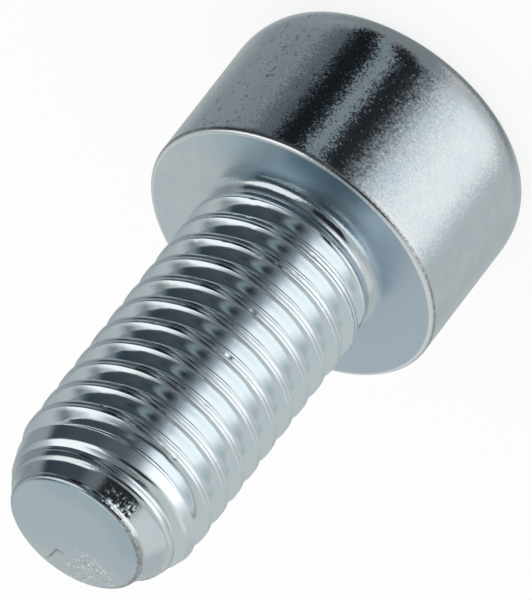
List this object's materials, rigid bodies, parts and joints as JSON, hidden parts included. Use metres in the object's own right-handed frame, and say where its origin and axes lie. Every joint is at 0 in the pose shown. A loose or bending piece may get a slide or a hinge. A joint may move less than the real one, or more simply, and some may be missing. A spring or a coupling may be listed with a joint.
{
  "type": "socket head cap screw",
  "caption": "Cylindrical head cap screw with a hex socket and a shank threaded up to the head, zinc plated, for clamping parts with a hex key.",
  "frame": {"origin": "centre of the head's flat top, on the plane the screw stands on with its point up", "axes": "+Z along the screw's axis from the head to the point; two corners of the hex socket lie on the X axis"},
  "size_m": [0.0159, 0.0158, 0.0297],
  "materials": {
    "zinc_plate": "bright zinc plate with a clear blue passivation over steel, glossy with a fine crystalline texture"
  },
  "bodies": {
    "root": {"cap_screw": "zinc_plate"}
  },
  "joints": []
}
